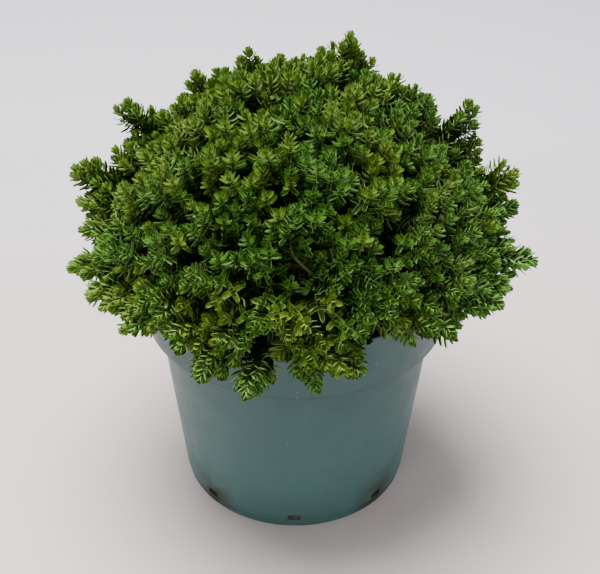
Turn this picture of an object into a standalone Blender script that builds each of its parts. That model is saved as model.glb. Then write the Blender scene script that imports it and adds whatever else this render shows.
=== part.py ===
"""Potted hebe: a dense, dome-shaped, small-leaved shrub in a round plastic nursery pot.

The origin is at the middle of the pot's flat underside, +Z is up and -Y is the front.
The crown is a ring of lower masses, a ring of upper masses and a peak. Each mass has a
bough of its own, and keeps to a cell between flat walls that pass near the fork.
"""

import math
import random

import bmesh
import bpy
from mathutils import Matrix, Vector, noise

MM = 0.001
CLEARANCE = 0.3 * MM
SEED = 41

# Pot: thin wall, stepped collar, shallow foot and drain holes round the foot
RIM_RADIUS = 65 * MM
POT_HEIGHT = 108 * MM
WALL = 1.2 * MM
FLOOR = 1.5 * MM
COLLAR_HEIGHT = 26 * MM
COLLAR_TAPER = 2 * MM
COLLAR_STEP = 5 * MM
BASE_RADIUS = 50 * MM
FOOT_HEIGHT = 4.5 * MM
FOOT_STEP = 0.8 * MM
POT_SIDES = 48
DRAIN_HOLES = 8
DRAIN_WIDTH = 5 * MM
DRAIN_HEIGHT = 3 * MM
DRAIN_DEPTH = 7 * MM

# Soil: fills the pot to a little below the rim, level in the middle
SOIL_LEVEL = 98 * MM
SOIL_DROP = 1 * MM
SOIL_FLAT = 0.7

# Stem: a short foot with a flare, and the knob where all boughs fork
FORK_HEIGHT = 114 * MM
KNOB_RADIUS = 8 * MM
KNOB_STEPS = 5
KNOB_SWEEP = math.radians(120)
STEM_RADIUS = 5 * MM
STEM_SWELL = 1.15
FLARE_RADIUS = 9 * MM
STEM_SIDES = 16

# Boughs: one for each mass
BOUGH_END = 27 * MM
BOUGH_ROOT_RADIUS = 1.8 * MM
BOUGH_TIP_RADIUS = 1.4 * MM
BOUGH_BEND = 1.2 * MM
BOUGH_POINTS = 4

# Crown outline, measured from the fork: a dome that droops a little over the rim
CROWN_RADIUS = 89 * MM
CROWN_RISE = 80 * MM
CROWN_ROUNDNESS = 1.7
CROWN_DROOP = math.radians(15)
CROWN_UNDERCUT = 10 * MM
LUMP_HEIGHT = 5 * MM
LUMP_SCALE = 3.0

# Masses: directions from the fork, in degrees, with 0 to the right and 90 to the back
PEAK = (50, 77)
UPPER_COUNT = 5
UPPER_ELEVATION = 50
UPPER_FIRST = -92
LOWER_COUNT = 10
LOWER_ELEVATION = 13
LOWER_WOBBLE = 3
LOWER_FIRST = -90
CELL_GAP = 1.6 * MM
POT_GAP = 2.6 * MM

# Foliage: a core in each mass, and twigs that fork in pairs from its stem to the tips
CORE_REACH = 0.86
CORE_START = 34 * MM
CORE_DETAIL = 2
CORE_POT_GAP = 4 * MM
CORE_DENTS = (0.92, 1.0)
CORE_MIDDLE = 0.62
CORE_STRIDES = 60
STEM_END = 0.44
TIP_COUNT = 116
TIP_JITTER = 3 * MM
TIP_STANDOFF = 0.7
FORK_AT = 0.32
FORK_ROOM = 4 * MM
TWIG_RADIUS = 2.2 * MM
TWIG_THINNING = 0.85
TWIG_NESTING = 0.93
SHOOT_LENGTH = 15 * MM
SHOOT_RADIUS = 1.1 * MM
SHOOT_TIP_RADIUS = 0.8 * MM
SHOOT_LIFT = 0.45
SHOOT_MOST_BEND = math.radians(60)
PATH_STEPS = 6
PULL_STEPS = 10

# Leaves: opposite pairs, each turned a quarter from the last
LEAF_LENGTH = 16 * MM
LEAF_WIDTH = 7.6 * MM
LEAF_THICKNESS = 1.5 * MM
LEAF_PAIRS = 2
LEAF_STEP = 4.5 * MM
LEAF_SINK = 0.2 * MM
LEAF_ANGLE_TIP = 40
LEAF_ANGLE_STEP = 26
LEAF_SIZES = (1.0, 0.8, 0.62)
LEAF_JITTER = 0.08
LEAF_ROOM = 0.1 * MM
ROOT_JITTER = 0.15 * MM

# Long shoots that stand out of the dome: azimuth, elevation and how far past it
LONG_SHOOTS = (
    (52, 67, 9 * MM),
    (22, 57, 4 * MM),
    (14, 35, 9 * MM),
    (3, 19, 11 * MM),
    (-12, 2, 8 * MM),
    (125, 64, 5 * MM),
    (148, 52, 5 * MM),
    (163, 34, 10 * MM),
    (176, 19, 9 * MM),
    (-166, 2, 6 * MM),
    (-101, -6, 6 * MM),
    (-113, -5, 4 * MM),
    (-84, -6, 3 * MM),
    (-146, 0, 4 * MM),
    (-30, 0, 4 * MM),
)


# Small tools

def direction(azimuth, elevation):
    """Unit vector for an azimuth and an elevation in degrees."""
    level = math.cos(math.radians(elevation))
    return Vector((
        level * math.cos(math.radians(azimuth)),
        level * math.sin(math.radians(azimuth)),
        math.sin(math.radians(elevation)),
    ))


def clear_scene():
    for item in list(bpy.data.objects):
        bpy.data.objects.remove(item, do_unlink=True)


def collection(name):
    made = bpy.data.collections.new(name)
    bpy.context.scene.collection.children.link(made)
    return made


def material(name, colour, roughness):
    made = bpy.data.materials.new(name)
    made.use_nodes = True
    shader = made.node_tree.nodes["Principled BSDF"]
    shader.inputs["Base Color"].default_value = (*colour, 1)
    shader.inputs["Roughness"].default_value = roughness
    shader.inputs["Metallic"].default_value = 0.0
    made.diffuse_color = (*colour, 1)
    return made


def place(name, data, group, finish=None):
    made = bpy.data.objects.new(name, data)
    group.objects.link(made)
    if finish:
        data.materials.append(finish)
    return made


def evaluated_mesh(item):
    """Mesh of an object with its modifiers applied."""
    bpy.context.view_layer.update()
    graph = bpy.context.evaluated_depsgraph_get()
    return bpy.data.meshes.new_from_object(item.evaluated_get(graph))


def turned(name, profile, sides, group, finish):
    """Solid of revolution. The profile runs down the outer side."""
    mesh = bpy.data.meshes.new(name)
    edges = [(i, i + 1) for i in range(len(profile) - 1)]
    mesh.from_pydata([(radius, 0, height) for radius, height in profile], edges, [])
    made = place(name, mesh, group, finish)
    screw = made.modifiers.new("Turn", "SCREW")
    screw.steps = sides
    screw.render_steps = sides
    screw.use_merge_vertices = True
    screw.merge_threshold = 0.00001
    screw.use_smooth_shade = True
    return made


# Pot, soil and stem

def collar_foot():
    return POT_HEIGHT - COLLAR_HEIGHT


def pot_profile():
    """Half section, from the middle of the floor up the inside and down the outside."""
    collar_radius = RIM_RADIUS - COLLAR_TAPER
    body_radius = collar_radius - COLLAR_STEP
    foot_radius = BASE_RADIUS - FOOT_STEP
    ease = WALL / 3
    return [
        (0, FLOOR),
        (BASE_RADIUS - WALL, FLOOR),
        (body_radius - WALL, collar_foot() + WALL),
        (collar_radius - WALL, collar_foot() + WALL),
        (RIM_RADIUS - WALL, POT_HEIGHT - ease),
        (RIM_RADIUS - WALL + ease, POT_HEIGHT),
        (RIM_RADIUS - ease, POT_HEIGHT),
        (RIM_RADIUS, POT_HEIGHT - ease),
        (collar_radius, collar_foot() + ease),
        (collar_radius - ease, collar_foot()),
        (body_radius, collar_foot()),
        (BASE_RADIUS, FOOT_HEIGHT),
        (foot_radius, FOOT_HEIGHT - FOOT_STEP),
        (foot_radius - ease, 0),
        (0, 0),
    ]


def drain_cutter(group):
    """Blocks that pierce the wall just above the foot, joined into one mesh."""
    cutter = bmesh.new()
    for i in range(DRAIN_HOLES):
        turn = Matrix.Rotation(2 * math.pi * i / DRAIN_HOLES, 4, "Z")
        middle = Matrix.Translation((BASE_RADIUS, 0, FOOT_HEIGHT + DRAIN_HEIGHT / 2))
        size = Matrix.Diagonal((DRAIN_DEPTH, DRAIN_WIDTH, DRAIN_HEIGHT, 1))
        bmesh.ops.create_cube(cutter, size=1, matrix=turn @ middle @ size)
    mesh = bpy.data.meshes.new("drain_cutter")
    cutter.to_mesh(mesh)
    cutter.free()
    made = place("drain_cutter", mesh, group)
    made.hide_render = True
    made.display_type = "WIRE"
    return made


def make_pot(group, cutters, finish):
    pot = turned("pot", pot_profile(), POT_SIDES, group, finish)
    holes = pot.modifiers.new("Drain holes", "BOOLEAN")
    holes.operation = "DIFFERENCE"
    holes.object = drain_cutter(cutters)
    return pot


def make_soil(group, finish):
    collar_radius = RIM_RADIUS - COLLAR_TAPER - WALL - CLEARANCE
    body_radius = collar_radius - COLLAR_STEP
    floor_radius = BASE_RADIUS - WALL - CLEARANCE
    shelf = collar_foot() + WALL + CLEARANCE
    profile = [
        (0, SOIL_LEVEL),
        (collar_radius * SOIL_FLAT, SOIL_LEVEL),
        (collar_radius, SOIL_LEVEL - SOIL_DROP),
        (collar_radius, shelf),
        (body_radius, shelf),
        (floor_radius, FLOOR + CLEARANCE),
        (0, FLOOR + CLEARANCE),
    ]
    return turned("soil", profile, POT_SIDES, group, finish)


def make_stem(group, finish):
    """Short stem: a round knob on a neck that flares to a flat cut at the soil."""
    foot = SOIL_LEVEL + CLEARANCE
    neck = FORK_HEIGHT - KNOB_RADIUS
    profile = [(0, FORK_HEIGHT + KNOB_RADIUS)]
    for i in range(1, KNOB_STEPS + 1):
        angle = math.pi / 2 - KNOB_SWEEP * i / KNOB_STEPS
        profile.append((KNOB_RADIUS * math.cos(angle), FORK_HEIGHT + KNOB_RADIUS * math.sin(angle)))
    profile.append((STEM_RADIUS, neck))
    profile.append((STEM_RADIUS * STEM_SWELL, (neck + foot) / 2))
    profile.append((FLARE_RADIUS, foot))
    profile.append((0, foot))
    return turned("stem", profile, STEM_SIDES, group, finish)


# Crown outline, masses and the room that each mass has

def mass_directions():
    """Plain name of each mass, with its unit vector from the fork."""
    ways = {"peak": direction(*PEAK)}
    for i in range(UPPER_COUNT):
        ways[f"upper_{i + 1}"] = direction(UPPER_FIRST + 360 * i / UPPER_COUNT, UPPER_ELEVATION)
    for i in range(LOWER_COUNT):
        elevation = LOWER_ELEVATION + LOWER_WOBBLE * (-1) ** i
        ways[f"lower_{i + 1}"] = direction(LOWER_FIRST + 360 * i / LOWER_COUNT, elevation)
    return ways


def crown_reach(way):
    """Distance from the fork to the crown's outline along a unit vector."""
    level = math.hypot(way.x, way.y)
    if way.z >= 0:
        total = (level / CROWN_RADIUS) ** CROWN_ROUNDNESS + (way.z / CROWN_RISE) ** CROWN_ROUNDNESS
        reach = total ** (-1 / CROWN_ROUNDNESS)
    else:
        droop = math.asin(-way.z) / CROWN_DROOP
        reach = CROWN_RADIUS - CROWN_UNDERCUT * droop ** 2
    return reach + LUMP_HEIGHT * noise.noise(way * LUMP_SCALE)


def pot_distance(point):
    """Distance from a point to the pot's rim and outer side. Points are from the fork."""
    out = math.hypot(point.x, point.y) - RIM_RADIUS
    up = point.z + FORK_HEIGHT - POT_HEIGHT
    if up > 0:
        return math.hypot(max(out, 0), up)
    return out


class Cell:
    """The space of one mass: between its walls, clear of the pot and the boughs."""

    def __init__(self, name, ways):
        self.way = ways[name]
        self.walls = [(self.way - way).normalized() for key, way in ways.items() if key != name]

    def room(self, point):
        """Distance from a point to the nearest thing that bounds the cell."""
        sides = min(point.dot(wall) for wall in self.walls) - CELL_GAP / 2
        inner = point.length - BOUGH_END
        return min(sides, inner, pot_distance(point) - POT_GAP)

    def core_room(self, point):
        """Room for the core, which stays back from the crown's outline and the fork."""
        distance = point.length
        outer = CORE_REACH * crown_reach(point.normalized()) - distance
        above_pot = pot_distance(point) - CORE_POT_GAP
        return min(self.room(point), outer, distance - CORE_START, above_pot)

    def path_room(self, *path):
        """Least room along a path, after its first point."""
        parts = [(i + 1) / PATH_STEPS for i in range(PATH_STEPS)]
        return min(self.room(a.lerp(b, part)) for a, b in zip(path, path[1:]) for part in parts)

    def pull_in(self, point, least):
        """Moves a point towards the middle of the cell until it has room."""
        middle = self.way * point.length
        for step in range(PULL_STEPS + 1):
            moved = point.lerp(middle, step / PULL_STEPS)
            if self.room(moved) > least:
                return moved
        return None


# Foliage

def frame_matrix(start, axis, side):
    """Matrix whose Z runs along axis and whose X runs along side."""
    across = axis.cross(side).normalized()
    side = across.cross(axis).normalized()
    turn = Matrix((side, across, axis)).transposed().to_4x4()
    return Matrix.Translation(start) @ turn


class Foliage:
    """Collects the closed pieces of one mass, and joins them into one body."""

    def __init__(self, name, cell, draw):
        self.name = name
        self.cell = cell
        self.draw = draw
        self.group = collection(name + "_pieces")

    def add(self, mesh_data):
        mesh = bpy.data.meshes.new("piece")
        mesh_data.to_mesh(mesh)
        mesh_data.free()
        return place("piece", mesh, self.group)

    def jitter(self, most):
        return Vector([self.draw.uniform(-most, most) for _ in range(3)])

    def core(self):
        """A ball whose points run outwards until they meet the cell's bounds."""
        middle = self.cell.way * (CORE_MIDDLE * crown_reach(self.cell.way))
        ball = bmesh.new()
        bmesh.ops.create_icosphere(ball, subdivisions=CORE_DETAIL, radius=1)
        for vertex in ball.verts:
            ray = vertex.co.normalized()
            point = middle.copy()
            for _ in range(CORE_STRIDES):
                point += ray * max(self.cell.core_room(point), 0)
            vertex.co = middle.lerp(point, self.draw.uniform(*CORE_DENTS))
        return self.add(ball)

    def twig(self, points, radii):
        """Three-sided twig: an end face, set back in what it grows from, drawn out along the points."""
        body = bmesh.new()
        axis = (points[1] - points[0]).normalized()
        start = frame_matrix(points[0] - axis * radii[0], axis, axis.orthogonal())
        bmesh.ops.create_circle(body, cap_ends=True, segments=3, radius=radii[0], matrix=start)
        end = body.faces[:]
        middle = start.translation
        for i in range(1, len(points)):
            drawn = bmesh.ops.extrude_face_region(body, geom=end)["geom"]
            if i > 1:
                bmesh.ops.delete(body, geom=end, context="FACES_ONLY")
            corners = [item for item in drawn if isinstance(item, bmesh.types.BMVert)]
            end = [item for item in drawn if isinstance(item, bmesh.types.BMFace)]
            thinning = Matrix.Scale(radii[i] / radii[i - 1], 4)
            moved = Matrix.Translation(points[i]) @ thinning @ Matrix.Translation(-middle)
            bmesh.ops.transform(body, matrix=moved, verts=corners)
            middle = points[i]
        bmesh.ops.recalc_face_normals(body, faces=body.faces)
        self.add(body)

    def leaf(self, root, axis, along, size):
        """Eight-faced leaf, if it fits. The root is sunk in the twig."""
        length = LEAF_LENGTH * size
        side = axis.cross(along).normalized()
        half = along * length / 2
        middle = root - along * LEAF_SINK + half
        edge = side * LEAF_WIDTH * size / 2
        tests = (middle + half, middle + half / 2, middle + edge, middle - edge)
        if min(self.cell.room(point) for point in tests) < LEAF_ROOM:
            return False
        blade = bmesh.new()
        scale = Matrix.Diagonal((LEAF_WIDTH * size / 2, LEAF_THICKNESS / 2, length / 2, 1))
        matrix = frame_matrix(middle, along, side) @ scale
        bmesh.ops.create_uvsphere(blade, u_segments=4, v_segments=2, radius=1, matrix=matrix)
        self.add(blade)
        return True

    def shoot(self, start, thickness, tip):
        """Last twig to a tip, bent upwards at its end, with leaves in opposite pairs."""
        axis = (tip.normalized() + Vector((0, 0, SHOOT_LIFT))).normalized()
        knee = tip - axis * SHOOT_LENGTH
        bend = (knee - start).angle(axis, math.pi)
        if bend > SHOOT_MOST_BEND or self.cell.path_room(start, knee, tip) < SHOOT_RADIUS:
            knee = (start + tip) / 2
            axis = (tip - knee).normalized()
            if self.cell.path_room(start, knee, tip) < SHOOT_RADIUS:
                return
        self.twig((start, knee, tip), (thickness, SHOOT_RADIUS, SHOOT_TIP_RADIUS))
        side = axis.orthogonal().normalized()
        side.rotate(Matrix.Rotation(self.draw.uniform(0, math.pi), 3, axis))
        for pair in range(LEAF_PAIRS):
            joint = tip - axis * (LEAF_STEP * pair + SHOOT_TIP_RADIUS)
            angle = math.radians(LEAF_ANGLE_TIP + LEAF_ANGLE_STEP * pair)
            for sign in (1, -1):
                along = axis * math.cos(angle) + side * sign * math.sin(angle)
                along = (along + self.jitter(LEAF_JITTER)).normalized()
                root = joint + self.jitter(ROOT_JITTER)
                for size in LEAF_SIZES:
                    if self.leaf(root, axis, along, size):
                        break
            side = axis.cross(side)

    def grow(self, start, thickness, tips):
        """Forks in pairs: the tips are halved across their widest spread each time."""
        if len(tips) == 1:
            self.shoot(start, thickness, tips[0])
            return
        middle = sum(tips, Vector()) / len(tips)
        widest = max((tip - middle for tip in tips), key=lambda gap: gap.length)
        tips = sorted(tips, key=lambda tip: tip.dot(widest))
        half = len(tips) // 2
        for part in (tips[:half], tips[half:]):
            fork = self.cell.pull_in(start.lerp(sum(part, Vector()) / len(part), FORK_AT), FORK_ROOM)
            if fork and self.cell.path_room(start, fork) > thickness:
                thin = thickness * TWIG_THINNING
                self.twig((start, fork), (thickness, thin))
                self.grow(fork, thin * TWIG_NESTING, part)

    def union(self, core, group, finish):
        """Joins all pieces, places the result in the crown and drops the pieces."""
        self.group.objects.unlink(core)
        bpy.context.scene.collection.objects.link(core)
        join = core.modifiers.new("Join", "BOOLEAN")
        join.operation = "UNION"
        join.operand_type = "COLLECTION"
        join.collection = self.group
        for solver in ("EXACT", "MANIFOLD"):
            join.solver = solver
            mesh = evaluated_mesh(core)
            if keep_outer_body(mesh):
                break
        for item in [core, *self.group.objects]:
            bpy.data.objects.remove(item, do_unlink=True)
        bpy.data.collections.remove(self.group)
        mesh.transform(Matrix.Translation((0, 0, FORK_HEIGHT)))
        mesh.name = self.name
        return place(self.name, mesh, group, finish)


def signed_volume(faces):
    total = 0
    for face in faces:
        first = face.verts[0].co
        for second, third in zip(face.verts[1:], face.verts[2:]):
            total += first.dot(second.co.cross(third.co)) / 6
    return total


def keep_outer_body(mesh):
    """Keeps the largest body, without sealed hollows and scraps. Says whether it is closed."""
    whole = bmesh.new()
    whole.from_mesh(mesh)
    left = set(whole.faces)
    bodies = []
    while left:
        body = {left.pop()}
        edge_of = list(body)
        while edge_of:
            face = edge_of.pop()
            for edge in face.edges:
                for other in edge.link_faces:
                    if other in left:
                        left.remove(other)
                        body.add(other)
                        edge_of.append(other)
        bodies.append(body)
    bodies.sort(key=signed_volume)
    scraps = [face for body in bodies[:-1] for face in body]
    bmesh.ops.delete(whole, geom=scraps, context="FACES")
    closed = all(edge.is_manifold for edge in whole.edges)
    whole.to_mesh(mesh)
    whole.free()
    return closed


def bough_points(way):
    """Points from the knob to the mass, straight at both ends and bowed between."""
    start = KNOB_RADIUS + CLEARANCE
    bow = way.cross(Vector((0, 0, 1))).normalized()
    points = []
    for i in range(BOUGH_POINTS):
        part = i / (BOUGH_POINTS - 1)
        side = BOUGH_BEND * math.sin(math.pi * part) ** 2
        points.append(way * (start + (BOUGH_END - start) * part) + bow * side)
    return points


def make_bough(name, way, group, finish):
    """Tapering limb from the knob to the foot of its mass."""
    curve = bpy.data.curves.new(name, "CURVE")
    curve.dimensions = "3D"
    curve.bevel_depth = BOUGH_ROOT_RADIUS
    curve.bevel_resolution = 1
    curve.use_fill_caps = True
    spline = curve.splines.new("POLY")
    points = bough_points(way)
    spline.points.add(len(points) - 1)
    for i, point in enumerate(points):
        spline.points[i].co = (*point, 1)
        part = i / (len(points) - 1)
        spline.points[i].radius = 1 + (BOUGH_TIP_RADIUS / BOUGH_ROOT_RADIUS - 1) * part
    made = place(name, curve, group, finish)
    made.location.z = FORK_HEIGHT
    return made


def crown_tips(draw):
    """Tips of the shoots: spread evenly over the dome, then the long ones."""
    golden = math.pi * (3 - math.sqrt(5))
    lowest = -math.sin(CROWN_DROOP)
    standoff = LEAF_LENGTH * TIP_STANDOFF
    tips = []
    for i in range(TIP_COUNT):
        height = 1 - (1 - lowest) * (i + 0.5) / TIP_COUNT
        level = math.sqrt(1 - height * height)
        way = Vector((level * math.cos(golden * i), level * math.sin(golden * i), height))
        tips.append(way * (crown_reach(way) - standoff + draw.uniform(-TIP_JITTER, TIP_JITTER)))
    for azimuth, elevation, extra in LONG_SHOOTS:
        way = direction(azimuth, elevation)
        tips.append(way * (crown_reach(way) - standoff + extra))
    return tips


def make_mass(name, key, ways, tips, group, finish):
    draw = random.Random(f"{SEED} {key}")
    cell = Cell(key, ways)
    foliage = Foliage(name, cell, draw)
    core = foliage.core()
    foot = cell.way * (BOUGH_END + CLEARANCE + BOUGH_TIP_RADIUS)
    stem_end = cell.way * (STEM_END * crown_reach(cell.way))
    foliage.twig((foot, stem_end), (BOUGH_TIP_RADIUS, BOUGH_TIP_RADIUS))
    roomy = [cell.pull_in(tip, SHOOT_RADIUS + CELL_GAP) for tip in tips]
    foliage.grow(stem_end, TWIG_RADIUS, [tip for tip in roomy if tip])
    return foliage.union(core, group, finish)


def build():
    clear_scene()
    plant = collection("potted_hebe")
    cutters = collection("cutters")
    plastic = material("pot_plastic", (0.075, 0.135, 0.130), 0.42)
    peat = material("soil", (0.030, 0.020, 0.013), 0.95)
    bark = material("bark", (0.120, 0.085, 0.040), 0.80)
    green = material("foliage", (0.060, 0.140, 0.018), 0.50)
    make_pot(plant, cutters, plastic)
    make_soil(plant, peat)
    make_stem(plant, bark)
    ways = mass_directions()
    shares = {key: [] for key in ways}
    for tip in crown_tips(random.Random(SEED)):
        nearest = max(ways, key=lambda key: tip.dot(ways[key]))
        shares[nearest].append(tip)
    for key, way in ways.items():
        make_bough("bough_" + key, way, plant, bark)
        make_mass("foliage_" + key, key, ways, shares[key], plant, green)


build()
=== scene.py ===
"""Looks of the potted hebe: real-size leaves in sprays on finer twigs, bark, peat and satin pot.

The crown follows the source's own rule: each mass grows from its bough to the same tips, and
each tip is carried on to a tuft of leafy shoots. Points of the crown are measured from the fork.
"""

import math
import random

import bpy
import numpy as np
from mathutils import Matrix, Vector, noise


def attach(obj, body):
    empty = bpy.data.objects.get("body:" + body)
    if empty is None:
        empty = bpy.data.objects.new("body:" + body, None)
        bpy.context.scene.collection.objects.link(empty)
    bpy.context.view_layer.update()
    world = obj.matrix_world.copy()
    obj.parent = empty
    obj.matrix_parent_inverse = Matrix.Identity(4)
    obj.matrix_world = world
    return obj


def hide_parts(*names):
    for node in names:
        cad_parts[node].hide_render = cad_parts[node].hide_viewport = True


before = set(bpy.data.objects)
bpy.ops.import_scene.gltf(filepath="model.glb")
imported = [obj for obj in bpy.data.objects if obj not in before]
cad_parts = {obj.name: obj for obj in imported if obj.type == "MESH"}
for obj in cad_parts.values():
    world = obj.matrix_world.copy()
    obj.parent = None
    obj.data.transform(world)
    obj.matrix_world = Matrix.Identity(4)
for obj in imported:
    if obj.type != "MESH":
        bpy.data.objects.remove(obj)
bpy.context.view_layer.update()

MM = 0.001
SEED = 41
GOLDEN_ANGLE = math.pi * (3 - math.sqrt(5))

# Pot, as in the CAD
RIM_RADIUS = 65 * MM
POT_HEIGHT = 108 * MM
WALL = 1.2 * MM
FLOOR = 1.5 * MM
COLLAR_HEIGHT = 26 * MM
COLLAR_TAPER = 2 * MM
COLLAR_STEP = 5 * MM
BASE_RADIUS = 50 * MM
FOOT_HEIGHT = 4.5 * MM
FOOT_STEP = 0.8 * MM
DRAIN_HOLES = 8
DRAIN_WIDTH = 5 * MM
DRAIN_HEIGHT = 3 * MM
POT_SIDES = 240
EASE = 0.4 * MM
EDGE_STEPS = 4
SOIL_LEVEL = 98 * MM
SOIL_GAP = 0.3 * MM
SOIL_SIDES = 120
SOIL_RINGS = 40
PLUG_DEPTH = 0.7 * MM
PLUG_RELIEF = 0.5 * MM
PLUG_STEPS = 10

# Peat on top: its relief, how many lumps go into a metre, and the fractal's roughness, ratio and octaves
SOIL_RELIEF = 0.8 * MM
SOIL_LUMPS = 220
SOIL_FRACTAL = (0.6, 2.0, 5)

# Stem, boughs and crown outline, as in the CAD
FORK_HEIGHT = 114 * MM
KNOB_RADIUS = 8 * MM
STEM_RADIUS = 5 * MM
FLARE_RADIUS = 9 * MM
BOUGH_END = 27 * MM
BOUGH_ROOT_RADIUS = 1.8 * MM
BOUGH_TIP_RADIUS = 1.4 * MM
BOUGH_BEND = 1.2 * MM
BOUGH_OVERLAP = 2 * MM
BOUGH_SWELL = 1.3
LIMB_SIDES = 16
LIMB_STEPS = 10
CROWN_RADIUS = 89 * MM
CROWN_RISE = 80 * MM
CROWN_ROUNDNESS = 1.7
CROWN_DROOP = math.radians(15)
CROWN_UNDERCUT = 10 * MM
LUMP_HEIGHT = 5 * MM
LUMP_SCALE = 3.0
PEAK = (50, 77)
UPPER_COUNT = 5
UPPER_ELEVATION = 50
UPPER_FIRST = -92
LOWER_COUNT = 10
LOWER_ELEVATION = 13
LOWER_WOBBLE = 3
LOWER_FIRST = -90
STEM_END = 0.44
TIP_COUNT = 116
TIP_JITTER = 3 * MM
TIP_STANDOFF = 11.2 * MM
FORK_AT = 0.32

# Stem: heights above the soil and radii of its flare, then heights from the fork and radii of its knob
FLARE_SHAPE = ((0, FLARE_RADIUS), (2 * MM, STEM_RADIUS * 1.3), (5 * MM, STEM_RADIUS * 1.1))
KNOB_SHAPE = ((-KNOB_RADIUS, STEM_RADIUS), (-4 * MM, 6.5 * MM), (0, 7.2 * MM), (4 * MM, 6.0 * MM))

# Relief of the bark, and how many of its lumps go into a metre sideways and upwards
BARK_RELIEF = 0.35 * MM
BARK_SIDEWAYS = 900
BARK_UPWARD = 260

# Long shoots that stand out of the dome: azimuth, elevation and how far past it. Those of the CAD
# are here too, some of them a little shorter, with smaller ones between them
LONG_SHOOTS = (
    (52, 67, 9 * MM),
    (47, 62, 4 * MM),
    (22, 57, -2 * MM),
    (14, 35, 9 * MM),
    (12, 27, 4 * MM),
    (3, 19, 11 * MM),
    (0, 11.5, 5.5 * MM),
    (-12, 2, 8 * MM),
    (-21, -1, 4 * MM),
    (125, 64, 1 * MM),
    (148, 52, 1 * MM),
    (163, 34, 8 * MM),
    (176, 18, 9 * MM),
    (-179, 12, 5 * MM),
    (-173, 7, 4 * MM),
    (-166, 0, 6 * MM),
    (-155, -1, 4 * MM),
    (-137, -1, 3 * MM),
    (-101, -6, 6 * MM),
    (-113, -5, 4 * MM),
    (-85, -6, 3 * MM),
    (-77, -2, 2 * MM),
    (-146, 0, 4 * MM),
    (-30, 0, 4 * MM),
)

# Arcs in front where the crown's edge stays above the collar: azimuth, half width and lift, in degrees
BARE_ARCS = ((-70, 5, 31), (-55, 8, 16), (-128, 11, 17))
BARE_EASE = 6
BARE_SPREAD = 8

# Tufts: each tip of the CAD is carried on to leafy shoots, the middle one tallest
TUFT_SHOOTS = 9
TUFT_SPREAD = 11 * MM
TUFT_DEPTH = 24 * MM
TUFT_DROP = 5.5 * MM
TUFT_JITTER = 1.5 * MM
TUFT_SHARES = (0.88, 1.08)
TUFT_TURN = 0.25
TUFT_DROPS = (0.5, 1.4)
LONG_TUFT_SHOOTS = 6
LONG_TUFT_SPREAD = 6.5 * MM
LONG_TUFT_DROP = 7 * MM
SHOOT_STANDOFFS = (6.0 * MM, 4.5 * MM)
LONG_STANDOFFS = (6.0 * MM, 1.0 * MM)
SHOOT_LIFTS = (-0.25, 1.7)
SHOOT_HEIGHTS = (-0.12, 0.7)
SHOOT_SPREAD = 0.35
SHOOT_SWAY = 0.12
SHOOT_RADIUS = 0.45 * MM
SHOOT_TIP_RADIUS = 0.28 * MM
SHOOT_LEAVE = 0.35
SHOOT_ARRIVE = 0.4
SHOOT_STEPS = 6
SHOOT_SIDES = 4
TWIG_RADIUS = 1.3 * MM
TWIG_THINNING = 0.85
TWIG_TAPER = (1, 0.9, 0.8, 0.75, 0.7)
TWIG_BEND = 4 * MM
TWIG_SIDES = 6

# Room that the plant leaves round the pot, and how many points at a shoot's foot aren't tested at first
POT_GAP = 1.0 * MM
RIM_CLEARANCE = 2.5 * MM
SHOOT_GAP = 0.7 * MM
LEAF_GAP = 0.4 * MM
GAP_TESTS = 4
SHELTERED_POINTS = 2

# Inner shoots: short ones with old leaves, which fill the crown below the tufts
INNER_COUNT = 860
INNER_REACH = (0.55, 0.91)
INNER_TUCK = 0.09
INNER_TUCK_HEIGHTS = (0.15, -0.05)
INNER_LENGTH = 13 * MM
INNER_SPREAD = 0.5
INNER_FIRST = 5
INNER_BEND = 4 * MM
INNER_STEPS = 4
INNER_GAP = 1.5 * MM

# Leaves: opposite pairs, each turned a quarter from the last, counted from the tip
LEAF_LENGTH = 5.4 * MM
LEAF_WIDTH = 1.8 * MM
LOW_LEAF_GROWTH = 0.28
LOW_LEAF_HEIGHTS = (0.55, 0.05)
LEAF_STEP = 1.05 * MM
LEAF_PAIRS = 21
LEAF_WIDENING = (0.7, 1.0)
BUD_STEPS = (0.3, 0.4, 0.5, 0.65, 0.8, 0.9)
BUD_LENGTHS = (0.4, 0.5, 0.6, 0.69, 0.77, 0.84, 0.9, 0.95)
BUD_ANGLES = (8, 18, 28, 36, 43, 48, 52, 55)
LEAF_ANGLE = 57
LEAF_ANGLE_OLD = 74
YOUNG_PAIRS = 6
GROWN_PAIRS = 10
ANGLE_JITTER = 7
SIZE_JITTER = 0.12
ROLL_JITTER = 12
WIDTH_JITTER = (0.9, 1.1)
LEAFLESS_FOOT = 1 * MM

# Blades: how far along and how wide each station is, cupping, incurving and width of the margin
YOUNG_BLADE = (((0, 0.8), (0.42, 1.0), (0.82, 0.82)), 0.14, -0.7, 0.12)
GROWN_BLADE = (((0, 0.75), (0.45, 1.0), (0.84, 0.76)), 0.14, -0.85, 0.12)
OLD_BLADE = (((0, 0.65), (0.45, 1.0), (0.84, 0.7)), 0.08, -0.6)
BLADES = {"young": YOUNG_BLADE, "grown": GROWN_BLADE, "old": OLD_BLADE, "withered": GROWN_BLADE}

# Hollow in the front of the crown, where a bare stem shows: azimuth and elevation of its middle
HOLLOW = (-86, 23)
HOLLOW_RADIUS = math.radians(11)
HOLLOW_DEPTH = 15 * MM
BARE_STEM = ((-76, 11, 54 * MM), (-81.5, 18, 69 * MM), (-90, 26.5, 71 * MM), (-91, 40, 75 * MM))
BARE_STEM_RADIUS = 0.6 * MM
BARE_STEM_LEAVE = 0.8
BARE_STEM_ARRIVE = 0.5
BARE_SHOOT_LEAVE = 0.4
BARE_SHOOT_RISE = 6 * MM

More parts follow.
